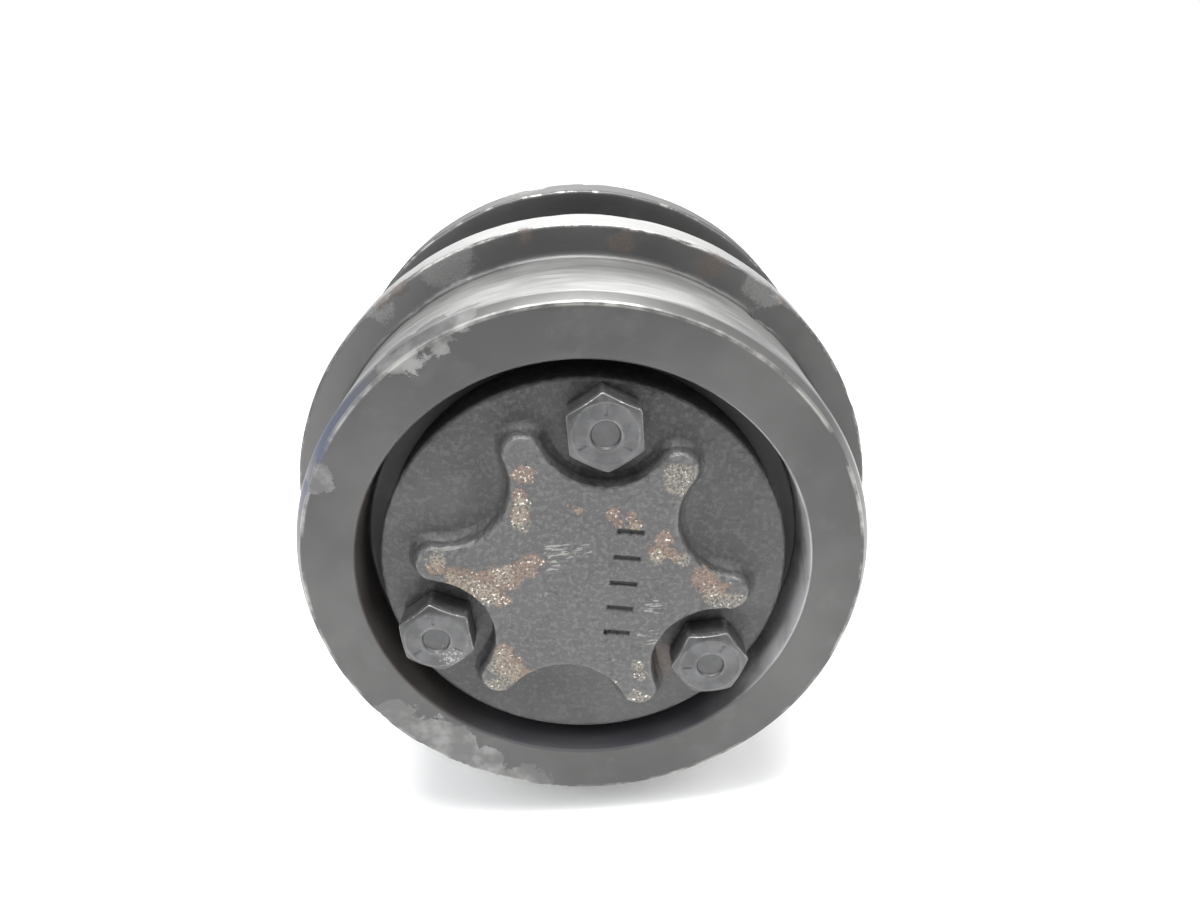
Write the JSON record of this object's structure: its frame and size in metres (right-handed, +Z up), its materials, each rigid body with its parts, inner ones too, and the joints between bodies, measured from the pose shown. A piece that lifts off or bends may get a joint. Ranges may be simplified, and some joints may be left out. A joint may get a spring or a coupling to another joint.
{
  "type": "track roller",
  "caption": "Double-flanged crawler track roller with a blind bolted end cap, turning on tapered roller bearings on a cantilevered shaft.",
  "frame": {"origin": "on the roller's axis, where the rear face of the shaft's collar meets the bracket", "axes": "+Y along the roller's axis, from the bolted cap towards the shaft's clamped end; +Z up; +X to the right, seen from the cap"},
  "size_m": [0.1566, 0.2176, 0.1566],
  "materials": {
    "forged_steel": "satin",
    "cast_iron": "matte",
    "fastener_steel": "satin",
    "ground_steel": "gloss",
    "turned_steel": "satin",
    "pressed_steel": "satin",
    "seal_rubber": "matte",
    "gasket_fibre": "matte"
  },
  "bodies": {
    "shaft_group": {"shaft": "turned_steel", "oil_fill_plug": "fastener_steel", "shaft_nut": "fastener_steel", "tab_washer": "pressed_steel", "front_bearing_cone": "ground_steel", "rear_bearing_cone": "ground_steel", "fixed_seal_ring": "ground_steel", "fixed_seal_toric": "seal_rubber", "seal_housing": "cast_iron"},
    "roller_group": {"roller_shell": "forged_steel", "end_cap": "cast_iron", "cap_gasket": "gasket_fibre", "cap_bolt_1": "fastener_steel", "cap_bolt_2": "fastener_steel", "cap_bolt_3": "fastener_steel", "front_bearing_cup": "ground_steel", "rear_bearing_cup": "ground_steel", "rotating_seal_ring": "ground_steel", "rotating_seal_toric": "seal_rubber"},
    "front_cage": {"front_bearing_cage": "pressed_steel"},
    "front_roller_01": {"front_bearing_roller_01": "ground_steel"},
    "front_roller_02": {"front_bearing_roller_02": "ground_steel"},
    "front_roller_03": {"front_bearing_roller_03": "ground_steel"},
    "front_roller_04": {"front_bearing_roller_04": "ground_steel"},
    "front_roller_05": {"front_bearing_roller_05": "ground_steel"},
    "front_roller_06": {"front_bearing_roller_06": "ground_steel"},
    "front_roller_07": {"front_bearing_roller_07": "ground_steel"},
    "front_roller_08": {"front_bearing_roller_08": "ground_steel"},
    "front_roller_09": {"front_bearing_roller_09": "ground_steel"},
    "front_roller_10": {"front_bearing_roller_10": "ground_steel"},
    "front_roller_11": {"front_bearing_roller_11": "ground_steel"},
    "front_roller_12": {"front_bearing_roller_12": "ground_steel"},
    "front_roller_13": {"front_bearing_roller_13": "ground_steel"},
    "front_roller_14": {"front_bearing_roller_14": "ground_steel"},
    "front_roller_15": {"front_bearing_roller_15": "ground_steel"},
    "rear_cage": {"rear_bearing_cage": "pressed_steel"},
    "rear_roller_01": {"rear_bearing_roller_01": "ground_steel"},
    "rear_roller_02": {"rear_bearing_roller_02": "ground_steel"},
    "rear_roller_03": {"rear_bearing_roller_03": "ground_steel"},
    "rear_roller_04": {"rear_bearing_roller_04": "ground_steel"},
    "rear_roller_05": {"rear_bearing_roller_05": "ground_steel"},
    "rear_roller_06": {"rear_bearing_roller_06": "ground_steel"},
    "rear_roller_07": {"rear_bearing_roller_07": "ground_steel"},
    "rear_roller_08": {"rear_bearing_roller_08": "ground_steel"},
    "rear_roller_09": {"rear_bearing_roller_09": "ground_steel"},
    "rear_roller_10": {"rear_bearing_roller_10": "ground_steel"},
    "rear_roller_11": {"rear_bearing_roller_11": "ground_steel"},
    "rear_roller_12": {"rear_bearing_roller_12": "ground_steel"},
    "rear_roller_13": {"rear_bearing_roller_13": "ground_steel"},
    "rear_roller_14": {"rear_bearing_roller_14": "ground_steel"},
    "rear_roller_15": {"rear_bearing_roller_15": "ground_steel"},
    "rear_roller_16": {"rear_bearing_roller_16": "ground_steel"},
    "rear_roller_17": {"rear_bearing_roller_17": "ground_steel"}
  },
  "joints": [
    {"name": "roller_spin", "type": "hinge", "parent": "shaft_group", "child": "roller_group", "pos_m": [0, 0, 0], "axis": [0, 1, 0], "continuous": true},
    {"name": "front_cage_spin", "type": "hinge", "parent": "shaft_group", "child": "front_cage", "pos_m": [0, 0, 0], "axis": [0, 1, 0], "continuous": true},
    {"name": "front_roller_01_spin", "type": "hinge", "parent": "front_cage", "child": "front_roller_01", "pos_m": [0, -0.111, 0.0193], "axis": [0, 0.9772, -0.2122], "continuous": true},
    {"name": "front_roller_02_spin", "type": "hinge", "parent": "front_cage", "child": "front_roller_02", "pos_m": [-0.00785, -0.111, 0.01763], "axis": [0.0863, 0.9772, -0.1938], "continuous": true},
    {"name": "front_roller_03_spin", "type": "hinge", "parent": "front_cage", "child": "front_roller_03", "pos_m": [-0.01434, -0.111, 0.01291], "axis": [0.1577, 0.9772, -0.142], "continuous": true},
    {"name": "front_roller_04_spin", "type": "hinge", "parent": "front_cage", "child": "front_roller_04", "pos_m": [-0.01836, -0.111, 0.00596], "axis": [0.2018, 0.9772, -0.0656], "continuous": true},
    {"name": "front_roller_05_spin", "type": "hinge", "parent": "front_cage", "child": "front_roller_05", "pos_m": [-0.01919, -0.111, -0.00202], "axis": [0.211, 0.9772, 0.0222], "continuous": true},
    {"name": "front_roller_06_spin", "type": "hinge", "parent": "front_cage", "child": "front_roller_06", "pos_m": [-0.01671, -0.111, -0.00965], "axis": [0.1838, 0.9772, 0.1061], "continuous": true},
    {"name": "front_roller_07_spin", "type": "hinge", "parent": "front_cage", "child": "front_roller_07", "pos_m": [-0.01134, -0.111, -0.01561], "axis": [0.1247, 0.9772, 0.1717], "continuous": true},
    {"name": "front_roller_08_spin", "type": "hinge", "parent": "front_cage", "child": "front_roller_08", "pos_m": [-0.00401, -0.111, -0.01888], "axis": [0.0441, 0.9772, 0.2075], "continuous": true},
    {"name": "front_roller_09_spin", "type": "hinge", "parent": "front_cage", "child": "front_roller_09", "pos_m": [0.00401, -0.111, -0.01888], "axis": [-0.0441, 0.9772, 0.2075], "continuous": true},
    {"name": "front_roller_10_spin", "type": "hinge", "parent": "front_cage", "child": "front_roller_10", "pos_m": [0.01134, -0.111, -0.01561], "axis": [-0.1247, 0.9772, 0.1717], "continuous": true},
    {"name": "front_roller_11_spin", "type": "hinge", "parent": "front_cage", "child": "front_roller_11", "pos_m": [0.01671, -0.111, -0.00965], "axis": [-0.1838, 0.9772, 0.1061], "continuous": true},
    {"name": "front_roller_12_spin", "type": "hinge", "parent": "front_cage", "child": "front_roller_12", "pos_m": [0.01919, -0.111, -0.00202], "axis": [-0.211, 0.9772, 0.0222], "continuous": true},
    {"name": "front_roller_13_spin", "type": "hinge", "parent": "front_cage", "child": "front_roller_13", "pos_m": [0.01836, -0.111, 0.00596], "axis": [-0.2018, 0.9772, -0.0656], "continuous": true},
    {"name": "front_roller_14_spin", "type": "hinge", "parent": "front_cage", "child": "front_roller_14", "pos_m": [0.01434, -0.111, 0.01291], "axis": [-0.1577, 0.9772, -0.142], "continuous": true},
    {"name": "front_roller_15_spin", "type": "hinge", "parent": "front_cage", "child": "front_roller_15", "pos_m": [0.00785, -0.111, 0.01763], "axis": [-0.0863, 0.9772, -0.1938], "continuous": true},
    {"name": "rear_cage_spin", "type": "hinge", "parent": "shaft_group", "child": "rear_cage", "pos_m": [0, 0, 0], "axis": [0, 1, 0], "continuous": true},
    {"name": "rear_roller_01_spin", "type": "hinge", "parent": "rear_cage", "child": "rear_roller_01", "pos_m": [0, -0.04765, 0.0265], "axis": [0, 0.9772, 0.2122], "continuous": true},
    {"name": "rear_roller_02_spin", "type": "hinge", "parent": "rear_cage", "child": "rear_roller_02", "pos_m": [-0.00957, -0.04765, 0.02471], "axis": [-0.0766, 0.9772, 0.1978], "continuous": true},
    {"name": "rear_roller_03_spin", "type": "hinge", "parent": "rear_cage", "child": "rear_roller_03", "pos_m": [-0.01785, -0.04765, 0.01958], "axis": [-0.1429, 0.9772, 0.1568], "continuous": true},
    {"name": "rear_roller_04_spin", "type": "hinge", "parent": "rear_cage", "child": "rear_roller_04", "pos_m": [-0.02372, -0.04765, 0.01181], "axis": [-0.1899, 0.9772, 0.0946], "continuous": true},
    {"name": "rear_roller_05_spin", "type": "hinge", "parent": "rear_cage", "child": "rear_roller_05", "pos_m": [-0.02639, -0.04765, 0.00245], "axis": [-0.2113, 0.9772, 0.0196], "continuous": true},
    {"name": "rear_roller_06_spin", "type": "hinge", "parent": "rear_cage", "child": "rear_roller_06", "pos_m": [-0.02549, -0.04765, -0.00725], "axis": [-0.2041, 0.9772, -0.0581], "continuous": true},
    {"name": "rear_roller_07_spin", "type": "hinge", "parent": "rear_cage", "child": "rear_roller_07", "pos_m": [-0.02115, -0.04765, -0.01597], "axis": [-0.1693, 0.9772, -0.1279], "continuous": true},
    {"name": "rear_roller_08_spin", "type": "hinge", "parent": "rear_cage", "child": "rear_roller_08", "pos_m": [-0.01395, -0.04765, -0.02253], "axis": [-0.1117, 0.9772, -0.1804], "continuous": true},
    {"name": "rear_roller_09_spin", "type": "hinge", "parent": "rear_cage", "child": "rear_roller_09", "pos_m": [-0.00487, -0.04765, -0.02605], "axis": [-0.039, 0.9772, -0.2086], "continuous": true},
    {"name": "rear_roller_10_spin", "type": "hinge", "parent": "rear_cage", "child": "rear_roller_10", "pos_m": [0.00487, -0.04765, -0.02605], "axis": [0.039, 0.9772, -0.2086], "continuous": true},
    {"name": "rear_roller_11_spin", "type": "hinge", "parent": "rear_cage", "child": "rear_roller_11", "pos_m": [0.01395, -0.04765, -0.02253], "axis": [0.1117, 0.9772, -0.1804], "continuous": true},
    {"name": "rear_roller_12_spin", "type": "hinge", "parent": "rear_cage", "child": "rear_roller_12", "pos_m": [0.02115, -0.04765, -0.01597], "axis": [0.1693, 0.9772, -0.1279], "continuous": true},
    {"name": "rear_roller_13_spin", "type": "hinge", "parent": "rear_cage", "child": "rear_roller_13", "pos_m": [0.02549, -0.04765, -0.00725], "axis": [0.2041, 0.9772, -0.0581], "continuous": true},
    {"name": "rear_roller_14_spin", "type": "hinge", "parent": "rear_cage", "child": "rear_roller_14", "pos_m": [0.02639, -0.04765, 0.00245], "axis": [0.2113, 0.9772, 0.0196], "continuous": true},
    {"name": "rear_roller_15_spin", "type": "hinge", "parent": "rear_cage", "child": "rear_roller_15", "pos_m": [0.02372, -0.04765, 0.01181], "axis": [0.1899, 0.9772, 0.0946], "continuous": true},
    {"name": "rear_roller_16_spin", "type": "hinge", "parent": "rear_cage", "child": "rear_roller_16", "pos_m": [0.01785, -0.04765, 0.01958], "axis": [0.1429, 0.9772, 0.1568], "continuous": true},
    {"name": "rear_roller_17_spin", "type": "hinge", "parent": "rear_cage", "child": "rear_roller_17", "pos_m": [0.00957, -0.04765, 0.02471], "axis": [0.0766, 0.9772, 0.1978], "continuous": true}
  ],
  "couplings": [
    {"joint": "front_cage_spin", "follows": "roller_spin", "ratio": 0.57848},
    {"joint": "front_roller_01_spin", "follows": "roller_spin", "ratio": 3.0362},
    {"joint": "front_roller_02_spin", "follows": "roller_spin", "ratio": 3.0362},
    {"joint": "front_roller_03_spin", "follows": "roller_spin", "ratio": 3.0362},
    {"joint": "front_roller_04_spin", "follows": "roller_spin", "ratio": 3.0362},
    {"joint": "front_roller_05_spin", "follows": "roller_spin", "ratio": 3.0362},
    {"joint": "front_roller_06_spin", "follows": "roller_spin", "ratio": 3.0362},
    {"joint": "front_roller_07_spin", "follows": "roller_spin", "ratio": 3.0362},
    {"joint": "front_roller_08_spin", "follows": "roller_spin", "ratio": 3.0362},
    {"joint": "front_roller_09_spin", "follows": "roller_spin", "ratio": 3.0362},
    {"joint": "front_roller_10_spin", "follows": "roller_spin", "ratio": 3.0362},
    {"joint": "front_roller_11_spin", "follows": "roller_spin", "ratio": 3.0362},
    {"joint": "front_roller_12_spin", "follows": "roller_spin", "ratio": 3.0362},
    {"joint": "front_roller_13_spin", "follows": "roller_spin", "ratio": 3.0362},
    {"joint": "front_roller_14_spin", "follows": "roller_spin", "ratio": 3.0362},
    {"joint": "front_roller_15_spin", "follows": "roller_spin", "ratio": 3.0362},
    {"joint": "rear_cage_spin", "follows": "roller_spin", "ratio": 0.5756},
    {"joint": "rear_roller_01_spin", "follows": "roller_spin", "ratio": 3.1578},
    {"joint": "rear_roller_02_spin", "follows": "roller_spin", "ratio": 3.1578},
    {"joint": "rear_roller_03_spin", "follows": "roller_spin", "ratio": 3.1578},
    {"joint": "rear_roller_04_spin", "follows": "roller_spin", "ratio": 3.1578},
    {"joint": "rear_roller_05_spin", "follows": "roller_spin", "ratio": 3.1578},
    {"joint": "rear_roller_06_spin", "follows": "roller_spin", "ratio": 3.1578},
    {"joint": "rear_roller_07_spin", "follows": "roller_spin", "ratio": 3.1578},
    {"joint": "rear_roller_08_spin", "follows": "roller_spin", "ratio": 3.1578},
    {"joint": "rear_roller_09_spin", "follows": "roller_spin", "ratio": 3.1578},
    {"joint": "rear_roller_10_spin", "follows": "roller_spin", "ratio": 3.1578},
    {"joint": "rear_roller_11_spin", "follows": "roller_spin", "ratio": 3.1578},
    {"joint": "rear_roller_12_spin", "follows": "roller_spin", "ratio": 3.1578},
    {"joint": "rear_roller_13_spin", "follows": "roller_spin", "ratio": 3.1578},
    {"joint": "rear_roller_14_spin", "follows": "roller_spin", "ratio": 3.1578},
    {"joint": "rear_roller_15_spin", "follows": "roller_spin", "ratio": 3.1578},
    {"joint": "rear_roller_16_spin", "follows": "roller_spin", "ratio": 3.1578},
    {"joint": "rear_roller_17_spin", "follows": "roller_spin", "ratio": 3.1578}
  ]
}
